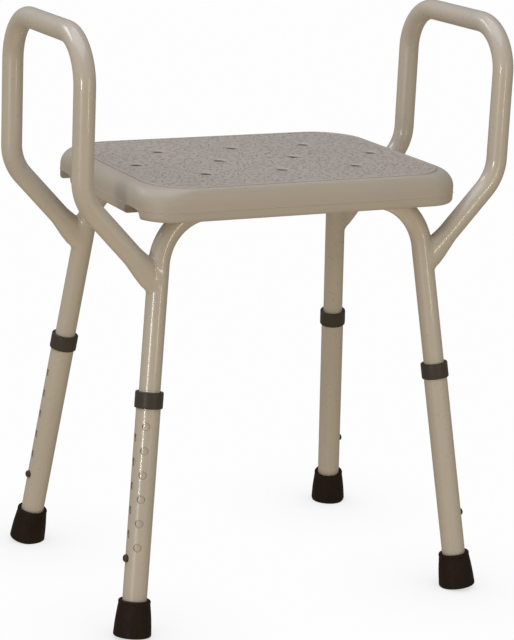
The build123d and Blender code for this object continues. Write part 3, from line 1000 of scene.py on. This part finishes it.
# ---------------------------------------------------------------- welds
def weld_ring(leg):
    """Rings of points round one joint of an arm and a leg, from inside the arm's wall to inside the leg's."""
    end = ArmEnd(leg)
    count = 144
    spine = []
    for j in range(count):
        turn = 2 * pi * j / count
        spine.append((end.skin(turn, end.reach(turn)), turn))
    heights = [(point - end.root).dot(end.up) for point, _ in spine]
    centre = (max(heights) + min(heights)) / 2
    facing = (end.along - end.up * end.along.dot(end.up)).normalized()
    sideways = end.up.cross(facing)
    rings = []
    for point, turn in spine:
        on_arm, on_leg, bulge = weld_sizes(turn, point)
        wide_part = end.wide * cos(turn) / ARM_END_HALF[0]
        thick_part = end.thick * sin(turn) / ARM_END_HALF[1]
        arm_out = (wide_part + thick_part).normalized()
        rise = (point - end.root).dot(end.up)
        radial = point - end.root - end.up * rise
        theta = atan2(radial.dot(sideways), radial.dot(facing))
        step = Vector((theta * TUBE_R, rise - centre)).normalized()

        def leg_skin(distance, lift):
            swing = theta + step.x * distance / TUBE_R
            out = facing * cos(swing) + sideways * sin(swing)
            return end.root + end.up * (rise + step.y * distance) + out * (TUBE_R + lift)

        leg_out = (leg_skin(0, 1) - leg_skin(0, 0)).normalized()
        far = end.reach(turn) + on_arm
        toe = end.skin(turn, far) + arm_out * 0.05
        foot = leg_skin(on_leg, 0.03)
        crown = point + (arm_out + leg_out).normalized() * bulge
        row = [end.skin(turn, far + 0.6) - arm_out * 0.9, end.skin(turn, far + 0.4) - arm_out * 0.08, toe]
        for i in range(1, 14):
            t = i / 14
            row.append(toe * (1 - t) ** 2 + crown * 2 * t * (1 - t) + foot * t * t)
        row += [foot, leg_skin(on_leg, -0.9), point - (arm_out + leg_out).normalized() * 2.4]
        rings.append(row)
    return rings


def make_welds(side, material):
    vertices, faces = [], []
    for end in ("front", "rear"):
        rings = weld_ring(f"{end}_{side}")
        first = len(vertices)
        vertices += [point for ring in rings for point in ring]
        faces += grid_faces(len(rings), len(rings[0]), first, wrap=True)
    made = new_object(f"welds_{side}", vertices, faces)
    tidy_normals(made, radians(50))
    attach(made, "frame")
    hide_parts(f"{side}_arm_welds")
    paint(made, material)


# ---------------------------------------------------------------- the stool
def main():
    make_camera()
    make_studio()
    make_floor()
    coat = powder_coat()
    weld_coat = powder_coat("weld_coat", 0.00005)
    # the third seat material is the border darkened to 0.42: painted shade inside the drain holes
    border, panel, drain_painted_shade = seat_border(), seat_panel(), seat_border("seat_drain_painted_shade", 0.42, 0.8)
    ferrule = rubber()
    collar = dark_plastic("collar_plastic", (0.040, 0.032, 0.024), 0.42)
    button = dark_plastic("button_plastic", (0.05, 0.028, 0.014), 0.35)
    finishes = {
        "button_spring": bright_metal("spring_steel", (0.5, 0.52, 0.56), 0.3),
        "ferrule_washer": bright_metal("washer_steel", (0.6, 0.6, 0.6), 0.35),
        "saddle_washers": dark_plastic("washer_plastic", (0.03, 0.03, 0.03), 0.5),
        "seat_screws": bright_metal("fastener_steel", (0.62, 0.6, 0.56), 0.3),
        "seat_inserts": bright_metal("brass_insert", (0.75, 0.55, 0.25), 0.3),
    }
    make_seat(border, panel, drain_painted_shade)
    for side in ("left", "right"):
        make_arm(side, coat)
        make_welds(side, weld_coat)
    for end in ("front", "rear"):
        make_leg_frame(end, coat)
    bare = bright_metal("bare_tube", (0.78, 0.75, 0.73), 0.5)
    for leg in LEGS:
        make_leg_tube(leg, coat, bare)
        make_ferrule(leg, ferrule)
        make_collar(leg, collar)
        make_button(leg, button)
    for name, node in nodes.items():
        for ending, material in finishes.items():
            if name.endswith(ending):
                node.data.materials.clear()
                node.data.materials.append(material)


main()
